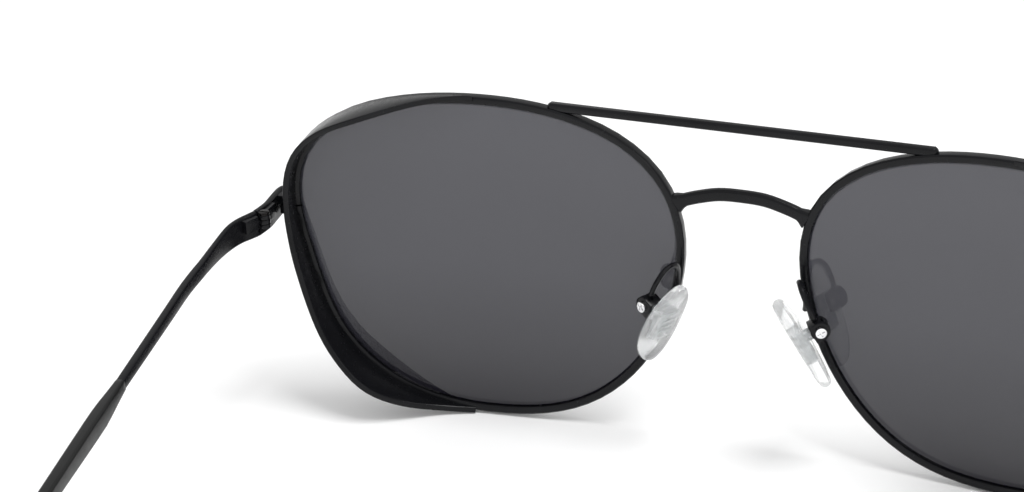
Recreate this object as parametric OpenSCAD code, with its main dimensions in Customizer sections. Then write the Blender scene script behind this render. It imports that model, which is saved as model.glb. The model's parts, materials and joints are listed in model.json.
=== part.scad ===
// Aviator sunglasses with a brow bar and side shields, standing open on a table.
// +X is the wearer's left, -Y the front, +Z up. The rims and the two temple tips
// stand on z = 0. Millimetres.

/* [Lens outline] */
// control radii of the lens outline, every 30 degrees from the temple side upward
outline_radii = [27, 34.1, 27, 24.3, 26.5, 31.9, 28, 26.4, 26.1, 24.5, 26.5, 28];
// distance between the two lens centres
centre_distance = 78; // [66:0.1:86]
// radius of the lens surface, a base 4 curve
lens_sphere = 132; // [80:1:200]
// turn of each lens about the vertical, temple side back
wrap = 6; // [0:0.5:15]
// lean of the lens tops to the front
tilt = 1.5; // [0:0.5:12]
// lens thickness
lens_t = 1.4; // [1.2:0.1:2]

/* [Rims, bar and bridge] */
// rim wire, in the direction away from the lens
rim_w = 1.15; // [0.8:0.05:2]
// rim wire, front to back
rim_d = 1.8; // [1.6:0.1:3.5]
// depth of the lens groove in the rim
groove = 0.6; // [0.3:0.05:0.8]
// length of the straight brow bar
bar_l = 57.9; // [40:0.1:80]
// brow bar, front to back
bar_d = 1.3; // [0.8:0.1:3]
// brow bar height
bar_h = 1.3; // [0.8:0.05:3]
// height of the bar's middle above the lens centres
bar_up = 25.5; // [20:0.1:30]
// height of the bridge's crown above the lens centres
bridge_up = 14.3; // [8:0.1:20]
// bridge wire height
bridge_h = 1.9; // [1:0.1:3]
// bridge wire, front to back
bridge_d = 1.3; // [1:0.1:3]

/* [Side shields] */
// thickness of the shield's sheet
shield_t = 0.9; // [0.4:0.05:1.5]
// how far the shield's outer face stands out from the lens edge
shield_off = 1.45; // [1:0.05:2]
// how far the shield's rear edge lies behind the lens, against the angle round the lens
shield_depth = [[-81.5, 0.75], [-79.5, 1], [-76, 1.5], [-70, 2.4], [-60, 4.9], [-50, 6.8],
                [-44, 7.1], [-36, 6.5], [-17, 5.5], [0, 5.1], [9, 4.1], [17, 3.5], [25, 3.7],
                [35, 5], [44, 6.4], [51, 7.1], [56, 6.6], [62, 5], [69, 3.1], [76, 1.9],
                [81, 1.2], [87, 0.75]];

/* [Hinges and temples] */
// distance of a hinge pin from the middle of the frame
pin_x = 70.75; // [60:0.05:80]
// distance of the pins behind the lens centres
pin_y = 13; // [8:0.1:20]
// height of the hinges above the lens centres
pin_up = 7.05; // [0:0.05:15]
// height of the middle of the temple plates above the lens centres
plate_up = 6.35; // [0:0.05:15]
// radius of the hinge pin
pin_r = 0.4; // [0.4:0.05:1]
// radius of the hinge knuckles
knuckle_r = 0.85; // [0.7:0.05:2]
// radial play of the moving knuckle on its pin
play = 0.05; // [0.01:0.01:0.1]
// gap between parts of different bodies in the hinge
gap = 0.16; // [0.05:0.01:0.4]
// slope of the temples, down to the back
pitch = 2.1; // [0:0.1:8]
// turn of the temples toward each other
converge = 8.5; // [0:0.1:15]
// extra turn of the tips toward each other
tip_converge = 0.4; // [0:0.1:8]
// temple length from the hinge pin along its curve
temple_l = 148; // [120:1:160]
// distance from the hinge pin to the start of the tip sleeve
sleeve_at = 47; // [30:1:100]
// distance from the hinge pin to the ear bend
bend_at = 98; // [80:1:115]
// angle of the ear bend
bend = 42.78; // [10:0.01:60]

/* [Nose pads] */
// middle of a pad, beside, behind and above the lens centres' midpoint
pad_at = [10.67, 5.3, -4.95];
// turn of a pad: lean forward, splay, and turn of its face
pad_turn = [2, -27, -27];
// pad length
pad_l = 16; // [10:0.1:18]
// pad width
pad_w = 7; // [5:0.1:10]
// place of the rocking screw from the pad's middle, in the pad's own directions
pad_pin = [3.1, 0.8, 1.2];
// radius of the round box that holds a pad
box_r = 1.45; // [1.3:0.05:3]
// radius of the pad screw
pad_screw_r = 0.5; // [0.3:0.05:0.8]

/* [Hidden] */
$fn = 48;
rim_mid = -0.28;   // middle of the rim wire and lens, behind the reference sphere
lens_z = 26.42;    // height of the lens centres above the table
front_y = -73.7;   // the lens centres lie this far ahead of the middle of the part
black = [0.05, 0.05, 0.055];
steel = [0.75, 0.76, 0.78];

// ---------- shared functions ----------

function unit(v) = v / norm(v);

// radius of the outline at an angle: a closed cubic B-spline of the control radii
function radius(a) =
    let (n = len(outline_radii), k = a / 360 * n, i = floor(k), t = k - i,
         p = [for (j = [-1:2]) outline_radii[((i + j) % n + n) % n]])
    ((1 - t) ^ 3 * p[0] + (3 * t ^ 3 - 6 * t ^ 2 + 4) * p[1]
     + (-3 * t ^ 3 + 3 * t ^ 2 + 3 * t + 1) * p[2] + t ^ 3 * p[3]) / 6;
function outline(a) = radius(a) * [cos(a), sin(a)];

// outline point moved outward by off, square to the outline
function outset(a, off) =
    let (d = unit(outline(a + 0.5) - outline(a - 0.5))) outline(a) + off * [d[1], -d[0]];

// a point of the left lens's plane lifted to its sphere, back by dy, then set in the frame
function seat(p, dy) =
    let (y = lens_sphere - sqrt(lens_sphere ^ 2 - p * p) + dy,
         a = [p[0] * cos(wrap) - y * sin(wrap) + centre_distance / 2,
              p[0] * sin(wrap) + y * cos(wrap), p[1]])
    [a[0], a[1] * cos(tilt) - a[2] * sin(tilt) + front_y,
     a[1] * sin(tilt) + a[2] * cos(tilt) + lens_z];

// a point given from the midpoint between the lens centres
function from_centre(p) = p + [0, front_y, lens_z];

// points of a smooth curve through pts, k steps to each span
function curve(pts, k) =
    let (n = len(pts) - 1)
    concat([for (i = [0:n - 1]) for (s = [0:k - 1])
        let (t = s / k, a = pts[max(i - 1, 0)], b = pts[i], c = pts[i + 1],
             d = pts[min(i + 2, n)])
        0.5 * (2 * b + (c - a) * t + (2 * a - 5 * b + 4 * c - d) * t ^ 2
               + (3 * b - a - 3 * c + d) * t ^ 3)], [pts[n]]);

// closed skin over rings of equal length, with flat ends
module skin(rings) {
    n = len(rings);
    m = len(rings[0]);
    walls = [for (i = [0:n - 2]) for (j = [0:m - 1])
        let (a = i * m + j, b = i * m + (j + 1) % m, c = b + m, d = a + m)
        each [[a, b, c], [a, c, d]]];
    ends = [[for (j = [m - 1:-1:0]) j], [for (j = [0:m - 1]) (n - 1) * m + j]];
    polyhedron([for (r = rings) each r], concat(walls, ends), convexity = 8);
}

// rings along a path: half width w[i] across, half height h[i] up, corners cut by cut
function bar_rings(path, w, h, cut, up = [0, 0, 1]) =
    let (n = len(path) - 1)
    [for (i = [0:n])
        let (t = unit(path[min(i + 1, n)] - path[max(i - 1, 0)]), s = unit(cross(t, up)),
             u = cross(s, t), a = w[i], b = h[i], c = min(cut, 0.6 * min(a, b)))
        [for (q = [[a, b - c], [a - c, b], [c - a, b], [-a, b - c],
                   [-a, c - b], [c - a, -b], [a - c, -b], [a, c - b]])
            path[i] + q[0] * s + q[1] * u]];

// round wire along a path, flattened across to half width w and half height h
function wire_rings(path, w, h, up, k = 12) =
    let (n = len(path) - 1)
    [for (i = [0:n])
        let (t = unit(path[min(i + 1, n)] - path[max(i - 1, 0)]), s = unit(cross(t, up)),
             u = cross(s, t))
        [for (j = [0:k - 1]) path[i] + w * cos(j * 360 / k) * s + h * sin(j * 360 / k) * u]];

module right() { mirror([1, 0, 0]) children(); }
module coat() { color(black) children(); }
module metal() { color(steel) children(); }

// ---------- front ----------

split = 13.2;   // angle round the lens where the rim is split for the lens

module rim() {
    d = rim_d / 2;
    c = 0.25;
    section = [[0, 0.2 - lens_t / 2], [groove, 0], [0, lens_t / 2 - 0.2], [0, d],
               [rim_w - c, d], [rim_w, d - c], [rim_w, c - d], [rim_w - c, -d], [0, -d]];
    steps = 72;
    coat() skin([for (i = [0:steps])
        let (a = split + 0.25 + i * 359.5 / steps)
        [for (q = section) seat(outset(a, q[0]), rim_mid + q[1])]]);
}

module side_shield() {
    first = shield_depth[0][0];
    last = shield_depth[len(shield_depth) - 1][0];
    steps = 60;
    o = shield_off;
    i = o - shield_t;
    f = rim_mid + rim_d / 2 - 0.1;
    function depth(a) = (lookup(a - 3, shield_depth) + lookup(a, shield_depth)
                         + lookup(a + 3, shield_depth)) / 3;
    coat() skin([for (k = [0:steps])
        let (a = first + (last - first) * k / steps, r = depth(a))
        [for (q = [[i, r - 0.12], [i + 0.12, r], [o - 0.12, r], [o, r - 0.12], [o, f], [i, f]])
            seat(outset(a, q[0]), q[1])]]);
}

module lens() {
    steps = 72;
    t = lens_t / 2;
    function ring(f, off, dy) = [for (i = [0:steps - 1])
        seat(f * outset(i * 360 / steps, off), rim_mid + dy)];
    color([0.2, 0.2, 0.22, 0.85]) skin(concat(
        [for (f = [0.02, 0.3, 0.55, 0.8, 1]) ring(f, -0.3, -t)],
        [ring(1, -0.06, 0.25 - t), ring(1, groove - 0.1, 0), ring(1, -0.06, t - 0.25)],
        [for (f = [1, 0.8, 0.55, 0.3, 0.02]) ring(f, -0.3, t)]));
}

module brow_bar() {
    x = bar_l / 2;
    r = 0.5;
    steps = [[-x, 0.35], [0.15 - x, 0.7], [r - x, 1], [x - r, 1], [x - 0.15, 0.7], [x, 0.35]];
    coat() skin(bar_rings([for (s = steps) from_centre([s[0], 0.75, bar_up])],
        [for (s = steps) bar_d / 2 * s[1]], [for (s = steps) bar_h / 2 * s[1]], 0.25));
}

module nose_bridge() {
    side = [[9.95, 0.1, 12.1], [9, 0, 12.6], [6.8, -0.15, 13.35],
            [3.5, -0.25, bridge_up - 0.15]];
    half = [for (p = side) from_centre(p)];
    path = curve(concat([for (p = half) [-p[0], p[1], p[2]]],
        [from_centre([0, -0.3, bridge_up])], [for (i = [len(half) - 1:-1:0]) half[i]]), 4);
    flare = [for (p = path) 1 + 0.45 * max(0, abs(p[0]) - 8.7)];
    coat() skin(bar_rings(path, [for (f = flare) bridge_d / 2 * min(f, 1.3)],
        [for (f = flare) bridge_h / 2 * f], 0.3));
}

// ---------- rim lock and end piece ----------

lock_x = 70.3;     // the closing screw's place, beside and behind the lens centres
lock_y = 5.95;
lock_z = 6.7;      // the rim's two ends meet at this height

module lock_half(z0, z1, end) {
    difference() {
        translate(from_centre([68.95, lock_y - 1, z0])) cube([end - 68.95, 2, z1 - z0]);
        translate(from_centre([lock_x, lock_y, z0 - 1]))
            cylinder(r = 0.47, h = z1 - z0 + 2);
        translate(from_centre([lock_x, lock_y, lock_z - 2]))
            cylinder(r = 0.72, h = 1);
    }
}
module block_upper() { coat() lock_half(lock_z + 0.05, lock_z + 1.5, 71.8); }
module block_lower() { coat() lock_half(lock_z - 1.5, lock_z - 0.05, 71.4); }
module closing_screw() {
    metal() difference() {
        union() {
            translate(from_centre([lock_x, lock_y, lock_z - 1.3]))
                cylinder(r = 0.45, h = 2.7);
            translate(from_centre([lock_x, lock_y, lock_z - 1.45]))
                cylinder(r = 0.7, h = 0.43);
        }
        translate(from_centre([lock_x - 1, lock_y - 0.1, lock_z - 1.6]))
            cube([2, 0.2, 0.35]);
    }
}

plate_x = pin_x + knuckle_r + 0.65;  // middle of the plates beside the hinge
module end_piece() {
    pts = [[71.95, 3.9], [72.25, 5.2], [72.1, 7.5], [71.9, 10.2], [plate_x, pin_y - gap / 2]];
    path = curve([for (p = pts) from_centre([p[0], p[1], plate_up])], 4);
    half = [for (i = [0:len(path) - 1]) i == 0 ? 1.5 : 2.1];
    coat() skin(bar_rings(path, [for (i = [0:len(path) - 1]) i == 0 ? 0.35 : 0.5],
        half, 0.2));
}

// ---------- hinge ----------

module at_pin(dz = 0) { translate(from_centre([pin_x, pin_y, pin_up + dz])) children(); }

half_mid = 0.32;     // half height of the moving knuckle
half_all = 1.1;      // half height of the whole hinge
module hinge_front() {
    coat() difference() {
        union() {
            for (z = [-half_all, half_mid + gap / 2]) at_pin(z)
                cylinder(r = knuckle_r, h = half_all - half_mid - gap / 2);
            for (z = [-half_all, half_mid + gap / 2]) at_pin(z)
                translate([0.1, -2.2, 0])
                    cube([knuckle_r - 0.1, 2.2, half_all - half_mid - gap / 2]);
            at_pin(-half_all) translate([0.1, -3.9, 0])
                cube([knuckle_r + 0.2, 2.75, 2 * half_all]);
        }
        at_pin(-3) cylinder(r = pin_r + 0.02, h = 6);
    }
}
module hinge_screw() {
    coat() difference() {
        union() {
            at_pin(-half_all - 0.1) cylinder(r = pin_r, h = 2 * half_all + 0.15);
            at_pin(half_all + 0.02) cylinder(r = 0.8, h = 0.35);
        }
        at_pin(half_all + 0.2) translate([-1.5, -0.12, 0]) cube([3, 0.24, 0.3]);
    }
}
module hinge_temple() {
    coat() difference() {
        union() {
            at_pin(-half_mid) cylinder(r = knuckle_r, h = 2 * half_mid);
            at_pin(-half_mid) rotate([0, 0, -21]) translate([0.15, 0, 0])
                cube([knuckle_r - 0.15, 2, 2 * half_mid]);
            at_pin(-1) rotate([0, 0, -21]) translate([0.15, 1.05, 0])
                cube([knuckle_r + 0.1, 2.5, 2]);
        }
        at_pin(-3) cylinder(r = pin_r + play, h = 6);
    }
}

// ---------- temple and tip ----------

// a point at distance s along the temple, measured from the pin
run_x = plate_x + 3.85;
temple_up = 6.7;  // where the line of the straight part meets the pin
function along(s) =
    let (turn = s <= sleeve_at ? 0 : tip_converge,
         knee = min(s, sleeve_at), rest = max(0, min(s, bend_at) - sleeve_at),
         arc = 20, fall = pitch + bend * min(1, max(0, s - bend_at) / arc),
         start = [run_x - knee * sin(converge) - rest * sin(converge + tip_converge),
                  pin_y + knee * cos(converge) + rest * cos(converge + tip_converge),
                  temple_up - min(s, bend_at) * sin(pitch)],
         b = max(0, min(s - bend_at, arc)), w = max(0, s - bend_at - arc),
         r = arc / (bend * PI / 180),
         ahead = r * (sin(pitch + bend * b / arc) - sin(pitch))
                 + w * cos(pitch + bend),
         down = r * (cos(pitch) - cos(pitch + bend * b / arc))
                + w * sin(pitch + bend),
         a = converge + tip_converge)
    from_centre(start + [-ahead * sin(a), ahead * cos(a), -down]);

module temple() {
    joint = [for (p = [[plate_x, pin_y + gap / 2, plate_up], [72.8, 14.3, plate_up],
        [73.6, 16.1, plate_up - 0.02], [74.05, 18.5, plate_up - 0.08],
        [73.95, 22.5, plate_up - 0.16], [73.5, 27.8, plate_up - 0.24]]) from_centre(p)];
    path = curve(concat(joint, [for (s = [21, 28, 38, 48, 58]) along(s)]), 3);
    n = len(path) - 1;
    function tall(y) = lookup(y, [[13, 2.1], [18, 1.95], [22, 1.55], [27, 1.15], [33, 1.03],
        [44, 0.96], [60, 0.86], [70, 0.7]]);
    coat() skin(bar_rings(path, [for (p = path) lookup(p[1] - front_y, [[22, 0.5], [30, 0.65]])],
        [for (p = path) tall(p[1] - front_y)], 0.25));
}

module temple_tip() {
    s = [sleeve_at, sleeve_at + 1, sleeve_at + 3, sleeve_at + 5.5, sleeve_at + 8,
         sleeve_at + 11, 64, 72, 84, 94, 98, 102, 106, 110, 114, 118, 126, 134, 140, 144,
         146.5, 147.6, temple_l];
    w = lookup_all(s, [[sleeve_at, 0.73], [sleeve_at + 8, 0.95], [120, 0.95],
        [144, 0.95], [146.5, 0.9], [147.6, 0.7], [148, 0.35]]);
    h = lookup_all(s, [[sleeve_at, 0.97], [sleeve_at + 3, 1.15], [sleeve_at + 5.5, 1.36],
        [sleeve_at + 8, 1.48], [sleeve_at + 11, 1.5], [64, 1.42], [84, 1.1],
        [106, 1.3], [126, 2], [140, 2.4], [144, 2.3], [146.5, 1.8], [147.6, 1.2],
        [148, 0.6]]);
    drop = lookup_all(s, [[sleeve_at, 0.03], [sleeve_at + 8, 0.2], [64, 0.15], [84, 0]]);
    coat() skin(bar_rings([for (i = [0:len(s) - 1]) along(s[i]) - [0, 0, drop[i]]], w, h, 0.35));
}
function lookup_all(s, table) = [for (q = s) lookup(q, table)];

// ---------- nose pads ----------

module at_pad() { translate(from_centre(pad_at)) rotate(pad_turn) children(); }

// arm: from the back of the rim up into a loop, over and down to the top of the box
module pad_arm() {
    pts = [[9.5, 0.6, -2.2], [9.75, 1.05, -1], [9.7, 1.25, 0.7], [9.4, 1.9, 2.3],
           [9.35, 2.8, 3.35], [9.8, 3.9, 3.65], [10.47, 5, 3.08], [11.44, 5.65, 1.4],
           [12.15, 5.65, -0.3], [12.43, 5.21, -1.33]];
    coat() skin(wire_rings(curve([for (p = pts) from_centre(p)], 3), 0.42, 0.42, [1, -0.5, 0]));
}

// oval ring of the pad, drawn in by inset, at distance x from the pad's middle plane
function pad_ring(x, inset) =
    [for (j = [0:39]) let (a = j * 9, w = pad_w / 2 - inset, l = pad_l / 2 - inset)
        [x + 0.045 * (w * cos(a)) ^ 2 - 0.25, w * cos(a) * (1 - 0.08 * sin(a)), l * sin(a)]];

module nose_pad() {
    color([0.9, 0.92, 0.93, 0.4]) at_pad() difference() {
        skin([for (q = [[0.95, 2.4], [0.95, 1.1], [0.8, 0.45], [0.45, 0.1], [0, 0], [-0.4, 0.08],
            [-0.8, 0.45], [-1, 1.2], [-1.05, 2.4]]) pad_ring(q[0], q[1])]);
        translate([-0.05, -1.6, -2.6]) cube([2.5, 3.2, 5.2]);
    }
}

// the insert: a small plate let into the pad, and the lug that enters the box
module pad_insert() {
    lug = 0.8;
    color([0.85, 0.87, 0.88, 0.6]) at_pad() difference() {
        union() {
            translate([-0.05, -1.6, -2.6]) cube([0.75, 3.2, 5.2]);
            translate(pad_pin) rotate([90, 0, 0]) cylinder(r = lug, h = 1, center = true);
            translate([0.6, pad_pin[1] - 0.5, pad_pin[2] - lug])
                cube([pad_pin[0] - 0.6, 1, 2 * lug]);
        }
        translate(pad_pin) rotate([90, 0, 0])
            cylinder(r = pad_screw_r + play, h = 4, center = true);
    }
}

// the box's slot takes the lug with room to rock
module pad_box() {
    coat() at_pad() translate(pad_pin) difference() {
        union() {
            rotate([90, 0, 0]) cylinder(r = box_r, h = 2.4, center = true);
            translate([-1.3, -1.2, 0.05 - box_r]) cube([1.3, 2.4, 2 * box_r - 0.1]);
        }
        translate([-3, -0.5 - gap / 2, -1.15]) cube([4, 1 + gap, 2.3]);
        rotate([90, 0, 0]) cylinder(r = pad_screw_r + 0.02, h = 4, center = true);
    }
}
module pad_screw() {
    metal() at_pad() translate(pad_pin) rotate([-90, 0, 0]) difference() {
        union() {
            translate([0, 0, -1.1]) cylinder(r = pad_screw_r, h = 2.4);
            translate([0, 0, 1.22]) cylinder(r = 0.8, h = 0.45);
        }
        for (a = [0, 90]) rotate([0, 0, a]) translate([-0.6, -0.12, 1.45])
            cube([1.2, 0.24, 0.4]);
    }
}

// ---------- drawing ----------

brow_bar();
nose_bridge();
rim();  // left_rim
side_shield();  // left_side_shield
lens();  // left_lens
block_upper();  // left_block_upper
block_lower();  // left_block_lower
closing_screw();  // left_closing_screw
end_piece();  // left_end_piece
hinge_front();  // left_hinge_front
hinge_screw();  // left_hinge_screw
hinge_temple();  // left_hinge_temple
temple();  // left_temple
temple_tip();  // left_temple_tip
pad_arm();  // left_pad_arm
pad_box();  // left_pad_box
pad_screw();  // left_pad_screw
nose_pad();  // left_nose_pad
pad_insert();  // left_pad_insert
right() rim();  // right_rim
right() side_shield();  // right_side_shield
right() lens();  // right_lens
right() block_upper();  // right_block_upper
right() block_lower();  // right_block_lower
right() closing_screw();  // right_closing_screw
right() end_piece();  // right_end_piece
right() hinge_front();  // right_hinge_front
right() hinge_screw();  // right_hinge_screw
right() hinge_temple();  // right_hinge_temple
right() temple();  // right_temple
right() temple_tip();  // right_temple_tip
right() pad_arm();  // right_pad_arm
right() pad_box();  // right_pad_box
right() pad_screw();  // right_pad_screw
right() nose_pad();  // right_nose_pad
right() pad_insert();  // right_pad_insert
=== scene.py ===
# Looks of the aviator sunglasses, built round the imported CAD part. Metres.
import json
import math
import bmesh
import bpy
from mathutils import Euler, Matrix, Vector


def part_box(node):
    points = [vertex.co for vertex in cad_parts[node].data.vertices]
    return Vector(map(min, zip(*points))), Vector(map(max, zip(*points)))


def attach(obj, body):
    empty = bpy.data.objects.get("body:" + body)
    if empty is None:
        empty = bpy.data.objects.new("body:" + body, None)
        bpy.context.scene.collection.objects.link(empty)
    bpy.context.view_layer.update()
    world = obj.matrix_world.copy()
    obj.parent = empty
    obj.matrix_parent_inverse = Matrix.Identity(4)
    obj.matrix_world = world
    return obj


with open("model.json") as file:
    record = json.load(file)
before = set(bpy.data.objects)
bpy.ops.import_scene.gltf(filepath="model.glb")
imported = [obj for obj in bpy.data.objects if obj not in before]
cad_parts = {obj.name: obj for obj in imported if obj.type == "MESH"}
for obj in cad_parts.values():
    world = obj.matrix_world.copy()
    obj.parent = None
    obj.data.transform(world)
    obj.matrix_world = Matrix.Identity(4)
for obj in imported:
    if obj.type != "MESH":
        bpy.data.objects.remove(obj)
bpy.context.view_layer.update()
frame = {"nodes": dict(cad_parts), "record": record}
NODES = frame["nodes"]
SIDES = (("left_", 1), ("right_", -1))
MM = 0.001


# ---------- materials ----------

NOISE_ROUGHNESS = 0.55


class Shader:
    """A new node material with a principled shader, and short ways to feed it."""

    def __init__(self, name, **values):
        self.mat = bpy.data.materials.new(name)
        self.mat.use_nodes = True
        self.tree = self.mat.node_tree
        self.bsdf = self.tree.nodes["Principled BSDF"]
        for key, value in values.items():
            self.bsdf.inputs[key.replace("_", " ")].default_value = value
        self.coord = self.tree.nodes.new("ShaderNodeTexCoord").outputs["Object"]

    def noise(self, scale, detail=3):
        node = self.tree.nodes.new("ShaderNodeTexNoise")
        node.inputs["Scale"].default_value = scale
        node.inputs["Detail"].default_value = detail
        node.inputs["Roughness"].default_value = NOISE_ROUGHNESS
        self.tree.links.new(self.coord, node.inputs["Vector"])
        return node.outputs["Fac"]

    def ramp(self, fac, stops):
        node = self.tree.nodes.new("ShaderNodeValToRGB")
        ramp = node.color_ramp
        while len(ramp.elements) < len(stops):
            ramp.elements.new(0.5)
        for element, (at, colour) in zip(ramp.elements, stops):
            element.position = at
            if isinstance(colour, (int, float)):
                colour = (colour,) * 3
            element.color = (*colour, 1)
        self.tree.links.new(fac, node.inputs["Fac"])
        return node.outputs["Color"]

    def height(self, low, high):
        """0 at the low height to 1 at the high one."""
        split = self.tree.nodes.new("ShaderNodeSeparateXYZ")
        scale = self.tree.nodes.new("ShaderNodeMapRange")
        scale.inputs["From Min"].default_value = low
        scale.inputs["From Max"].default_value = high
        self.tree.links.new(self.coord, split.inputs[0])
        self.tree.links.new(split.outputs["Z"], scale.inputs["Value"])
        return scale.outputs["Result"]

    def link(self, output, name):
        self.tree.links.new(output, self.bsdf.inputs[name])

    def bump(self, height, distance, strength=1.0):
        node = self.tree.nodes.new("ShaderNodeBump")
        node.inputs["Distance"].default_value = distance
        node.inputs["Strength"].default_value = strength
        self.tree.links.new(height, node.inputs["Height"])
        self.tree.links.new(node.outputs["Normal"], self.bsdf.inputs["Normal"])


def black_coat():
    s = Shader("baked_black_coat", IOR=1.5, Specular_IOR_Level=0.19)
    s.link(s.ramp(s.noise(90), [(0.35, (0.0036, 0.0037, 0.0046)),
                                (0.65, (0.0058, 0.006, 0.0072))]), "Base Color")
    s.link(s.ramp(s.noise(1400, 2), [(0.3, 0.2), (0.7, 0.28)]), "Roughness")
    s.bump(s.noise(5200, 2), 0.000006, 0.25)
    return s.mat


def tip_plastic():
    s = Shader("black_tip_plastic", IOR=1.46, Specular_IOR_Level=0.35)
    s.link(s.ramp(s.noise(120), [(0.35, 0.0035), (0.65, 0.0055)]), "Base Color")
    s.link(s.ramp(s.noise(700, 2), [(0.3, 0.3), (0.7, 0.38)]), "Roughness")
    s.bump(s.noise(2600, 3), 0.00001, 0.25)
    return s.mat


def turned_steel():
    s = Shader("turned_steel", Metallic=1.0)
    s.link(s.ramp(s.noise(900), [(0.35, (0.7, 0.7, 0.71)), (0.65, (0.86, 0.86, 0.87))]),
           "Base Color")
    s.link(s.ramp(s.noise(2500, 2), [(0.3, 0.16), (0.7, 0.28)]), "Roughness")
    s.bump(s.noise(9000, 1), 0.000005, 0.3)
    return s.mat


def dark_steel():
    s = Shader("blackened_steel", Metallic=1.0)
    s.link(s.ramp(s.noise(900), [(0.35, (0.012, 0.011, 0.011)),
                                 (0.65, (0.03, 0.028, 0.028))]), "Base Color")
    s.link(s.ramp(s.noise(2500, 2), [(0.3, 0.25), (0.7, 0.35)]), "Roughness")
    return s.mat


def clear_silicone():
    s = Shader("clear_silicone", IOR=1.34, Transmission_Weight=0.82, Alpha=0.76)
    s.link(s.ramp(s.noise(160), [(0.35, (0.94, 0.955, 0.96)), (0.65, (0.98, 0.99, 0.99))]),
           "Base Color")
    s.link(s.ramp(s.noise(500, 2), [(0.35, 0.03), (0.65, 0.08)]), "Roughness")
    s.bump(s.noise(600, 2), 0.00003, 0.3)
    return s.mat


def insert_plastic():
    s = Shader("pad_insert_plastic", IOR=1.45, Transmission_Weight=0.35)
    s.link(s.ramp(s.noise(300), [(0.35, (0.78, 0.81, 0.82)), (0.65, (0.9, 0.92, 0.93))]),
           "Base Color")
    s.link(s.ramp(s.noise(900, 2), [(0.35, 0.15), (0.65, 0.28)]), "Roughness")
    ribs = s.tree.nodes.new("ShaderNodeTexWave")
    ribs.bands_direction = "Z"
    ribs.inputs["Scale"].default_value = 260
    s.tree.links.new(s.coord, ribs.inputs["Vector"])
    s.bump(ribs.outputs["Fac"], 0.0002)
    return s.mat


def grey_lens():
    """A grey tint, with painted shade and painted reflection: darker toward the bottom, a
    little paler toward the top.
    """
    s = Shader("grey_lens", IOR=1.52, Alpha=0.84)
    bottom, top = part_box("left_lens")
    # painted shade and painted reflection: the base colour runs by height from near black at
    # the bottom to paler grey at the top
    s.link(s.ramp(s.height(bottom[2], top[2]), [(0.0, (0.004, 0.003, 0.008)),
                                                (0.45, (0.05, 0.05, 0.062)),
                                                (1.0, (0.066, 0.066, 0.08))]), "Base Color")
    s.link(s.ramp(s.noise(60, 2), [(0.35, 0.0), (0.65, 0.012)]), "Roughness")
    return s.mat


COAT, TIP, STEEL, DARK = black_coat(), tip_plastic(), turned_steel(), dark_steel()
PAD, INSERT, LENS = clear_silicone(), insert_plastic(), grey_lens()
LOOK = {"coat": COAT, "tip": TIP, "screw": STEEL, "dark_screw": DARK, "pad": PAD,
        "pad_insert": INSERT, "lens": LENS}


# ---------- edges and shading of the CAD nodes ----------

SMOOTH_BELOW = math.radians(28)      # edges sharper than this stay sharp in the shading
BEVEL_ABOVE = math.radians(30)       # edges sharper than this are rounded
WELD_WITHIN = 0.002 * MM
BEVEL_STEPS = 2
USUAL_ROUND = 0.1                    # mm, where ROUND has no entry


def smooth_group():
    """Geometry nodes that shade smooth, except over edges sharper than the angle."""
    group = bpy.data.node_groups.new("smooth_by_angle", "GeometryNodeTree")
    group.interface.new_socket("Geometry", in_out="INPUT", socket_type="NodeSocketGeometry")
    group.interface.new_socket("Geometry", in_out="OUTPUT", socket_type="NodeSocketGeometry")
    n, join = group.nodes, group.links.new
    start, end = n.new("NodeGroupInput"), n.new("NodeGroupOutput")
    angle = n.new("GeometryNodeInputMeshEdgeAngle")
    limit = n.new("FunctionNodeCompare")
    limit.operation = "LESS_EQUAL"
    limit.inputs["B"].default_value = SMOOTH_BELOW
    faces, edges = n.new("GeometryNodeSetShadeSmooth"), n.new("GeometryNodeSetShadeSmooth")
    faces.domain, edges.domain = "FACE", "EDGE"
    join(start.outputs[0], faces.inputs["Geometry"])
    join(faces.outputs[0], edges.inputs["Geometry"])
    join(angle.outputs["Unsigned Angle"], limit.inputs["A"])
    join(limit.outputs["Result"], edges.inputs["Shade Smooth"])
    join(edges.outputs[0], end.inputs[0])
    return group


SMOOTH = smooth_group()


def finish_edges(obj, width):
    """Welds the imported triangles, rounds the sharp edges and shades the rest smooth."""
    weld = obj.modifiers.new("weld", "WELD")
    weld.merge_threshold = WELD_WITHIN
    if width:
        bevel = obj.modifiers.new("edges", "BEVEL")
        bevel.limit_method = "ANGLE"
        bevel.angle_limit = BEVEL_ABOVE
        bevel.width = width
        bevel.segments = BEVEL_STEPS
        bevel.use_clamp_overlap = True
    shade = obj.modifiers.new("shade", "NODES")
    shade.node_group = SMOOTH


slots = {p["node"]: p["material_slot"] for p in frame["record"]["subparts"]}
# radius of the rounded edges by kind of node, in mm
ROUND = {"hinge_screw": 0.04, "closing_screw": 0.04, "pad_screw": 0.05, "hinge_front": 0.08,
         "hinge_temple": 0.08, "block_upper": 0.1, "block_lower": 0.1, "temple_tip": 0.3,
         "pad_arm": 0, "nose_pad": 0, "pad_insert": 0.1, "side_shield": 0.05, "pad_box": 0.12}
for name, obj in NODES.items():
    kind = name.replace("left_", "").replace("right_", "")
    obj.data.materials.clear()
    obj.data.materials.append(LOOK[slots[name]])
    finish_edges(obj, ROUND.get(kind, USUAL_ROUND) * MM)


# ---------- moulded ladder on the pad inserts ----------

PAD_TURN = (2, -27, -27)        # degrees about x, y and z, for the left pad
# the rest is in mm, in the pad's own axes: x through it, y across it and z along it
SCREW_FROM_MIDDLE = (3.1, 0.8, 1.2)
RAIL_AT, RAIL_HALF, RAIL_REACH, RAIL_RISE = 1.4, 0.2, 2.6, 0.42
RUNGS_AT = (-2.35, -1.2, 0, 1.2, 2.35)
RUNG_HALF, RUNG_REACH, RUNG_RISE = 0.22, 1.3, 0.36
LADDER_ROUND = 0.08


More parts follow.
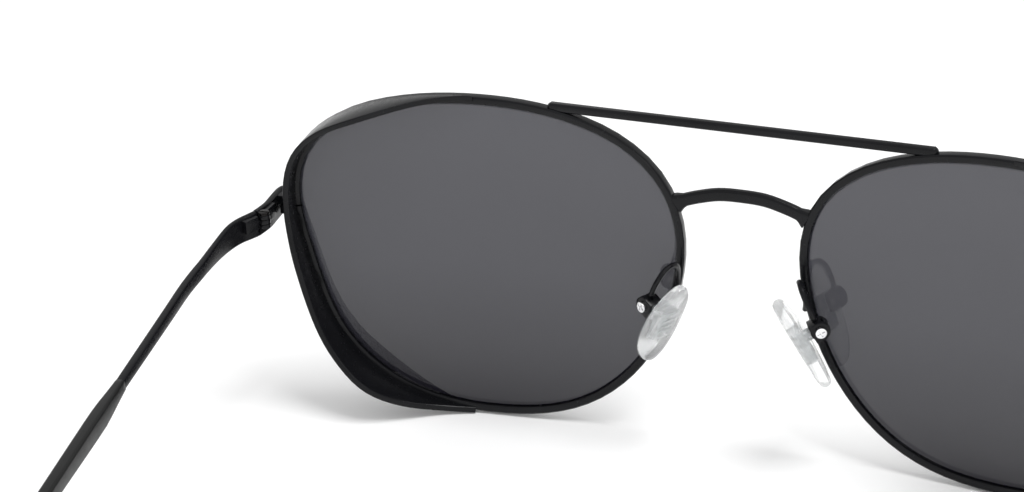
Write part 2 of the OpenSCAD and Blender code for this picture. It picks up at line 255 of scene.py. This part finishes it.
def insert_ladder(side, sign):
    """A raised frame with rungs on the face of the insert, inside the clear pad."""
    joint = next(j for j in frame["record"]["behaviour"]["joints"]
                 if j["name"] == side + "pad_rock")
    turn = Euler([math.radians(a) for a in PAD_TURN], "XYZ").to_matrix()
    screw = Vector((sign * joint["pos_m"][0], joint["pos_m"][1], joint["pos_m"][2]))
    middle = screw - turn @ Vector(SCREW_FROM_MIDDLE) * MM
    rails = [((-RAIL_RISE, y - RAIL_HALF, -RAIL_REACH), (0.0, y + RAIL_HALF, RAIL_REACH))
             for y in (-RAIL_AT, RAIL_AT)]
    rungs = [((-RUNG_RISE, -RUNG_REACH, z - RUNG_HALF), (0.0, RUNG_REACH, z + RUNG_HALF))
             for z in RUNGS_AT]
    bm = bmesh.new()
    for low, high in rails + rungs:
        made = bmesh.ops.create_cube(bm, size=1)["verts"]
        for v in made:
            place = [(a + b) / 2 + (b - a) * c for a, b, c in zip(low, high, v.co)]
            spot = middle + turn @ Vector(place) * MM
            v.co = (sign * spot.x, spot.y, spot.z)
    bmesh.ops.recalc_face_normals(bm, faces=bm.faces)
    mesh = bpy.data.meshes.new(side + "insert_ladder")
    bm.to_mesh(mesh)
    bm.free()
    obj = bpy.data.objects.new(side + "insert_ladder", mesh)
    bpy.context.scene.collection.objects.link(obj)
    mesh.materials.append(INSERT)
    finish_edges(obj, LADDER_ROUND * MM)
    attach(obj, side + "pad")


for side, sign in SIDES:
    insert_ladder(side, sign)


# ---------- floor, light and camera ----------

FLOOR_HALF, FLOOR_DROP = 3, 0.1 * MM
SKY_STRENGTH = 0.72
LIGHTS_AIM = (0, -0.04, 0.02)
# name, place, size, watts
SOFT_BOXES = (("overhead", (-0.38, 0.0, 1.05), (0.5, 0.5), 8.5),
              ("rear", (-0.5, 0.9, 0.6), (0.8, 0.2), 1.2))
VIEW_TURN, VIEW_RISE, VIEW_ROLL = 23.353, 27.324, -3.357      # degrees
VIEW_FROM = (-0.11451, 0.26017, 0.21648)
VIEW_LENS, VIEW_SENSOR = 96.667, 36                           # mm
VIEW_SHIFT = -0.0408
VIEW_NEAR = 0.01


def studio():
    mesh = bpy.data.meshes.new("floor")
    half = FLOOR_HALF
    mesh.from_pydata([(-half, -half, 0), (half, -half, 0), (half, half, 0), (-half, half, 0)],
                     [], [(0, 1, 2, 3)])
    floor = bpy.data.objects.new("floor", mesh)
    bpy.context.scene.collection.objects.link(floor)
    floor.location.z = -FLOOR_DROP
    s = Shader("pale_floor", Roughness=0.7)
    s.link(s.ramp(s.noise(3), [(0.4, 0.93), (0.6, 0.95)]), "Base Color")
    mesh.materials.append(s.mat)

    world = bpy.data.worlds.new("studio")
    world.use_nodes = True
    bpy.context.scene.world = world
    tree = world.node_tree
    sky = tree.nodes["Background"]
    sky.inputs["Strength"].default_value = SKY_STRENGTH
    seen = tree.nodes.new("ShaderNodeBackground")
    path, mix = tree.nodes.new("ShaderNodeLightPath"), tree.nodes.new("ShaderNodeMixShader")
    for node in (sky, seen):
        node.inputs["Color"].default_value = (1, 1, 1, 1)
    for a, b in ((path.outputs["Is Camera Ray"], mix.inputs[0]),
                 (sky.outputs[0], mix.inputs[1]), (seen.outputs[0], mix.inputs[2]),
                 (mix.outputs[0], tree.nodes["World Output"].inputs["Surface"])):
        tree.links.new(a, b)

    for name, place, size, watts in SOFT_BOXES:
        data = bpy.data.lights.new(name, "AREA")
        data.shape = "RECTANGLE"
        data.size, data.size_y = size
        data.energy = watts
        lamp = bpy.data.objects.new(name, data)
        bpy.context.scene.collection.objects.link(lamp)
        lamp.location = place
        aim = Vector(LIGHTS_AIM) - Vector(place)
        lamp.rotation_euler = aim.to_track_quat("-Z", "Y").to_euler()
    bpy.context.scene.view_settings.view_transform = "Standard"


def camera():
    """The main view, from behind and above the wearer's right."""
    turn, rise, roll = (math.radians(a) for a in (VIEW_TURN, VIEW_RISE, VIEW_ROLL))
    back = Vector((-math.sin(turn) * math.cos(rise), math.cos(turn) * math.cos(rise),
                   math.sin(rise)))
    right = Vector((-math.cos(turn), -math.sin(turn), 0))
    up = back.cross(right)
    x = math.cos(roll) * right + math.sin(roll) * up
    y = -math.sin(roll) * right + math.cos(roll) * up
    data = bpy.data.cameras.new("camera")
    data.lens, data.sensor_width = VIEW_LENS, VIEW_SENSOR
    data.shift_x = VIEW_SHIFT
    data.clip_start = VIEW_NEAR
    cam = bpy.data.objects.new("camera", data)
    bpy.context.scene.collection.objects.link(cam)
    rotation = cam.matrix_world.to_3x3()
    rotation.col[0], rotation.col[1], rotation.col[2] = x, y, back
    cam.matrix_world = rotation.to_4x4()
    cam.location = VIEW_FROM
    bpy.context.scene.camera = cam


studio()
camera()
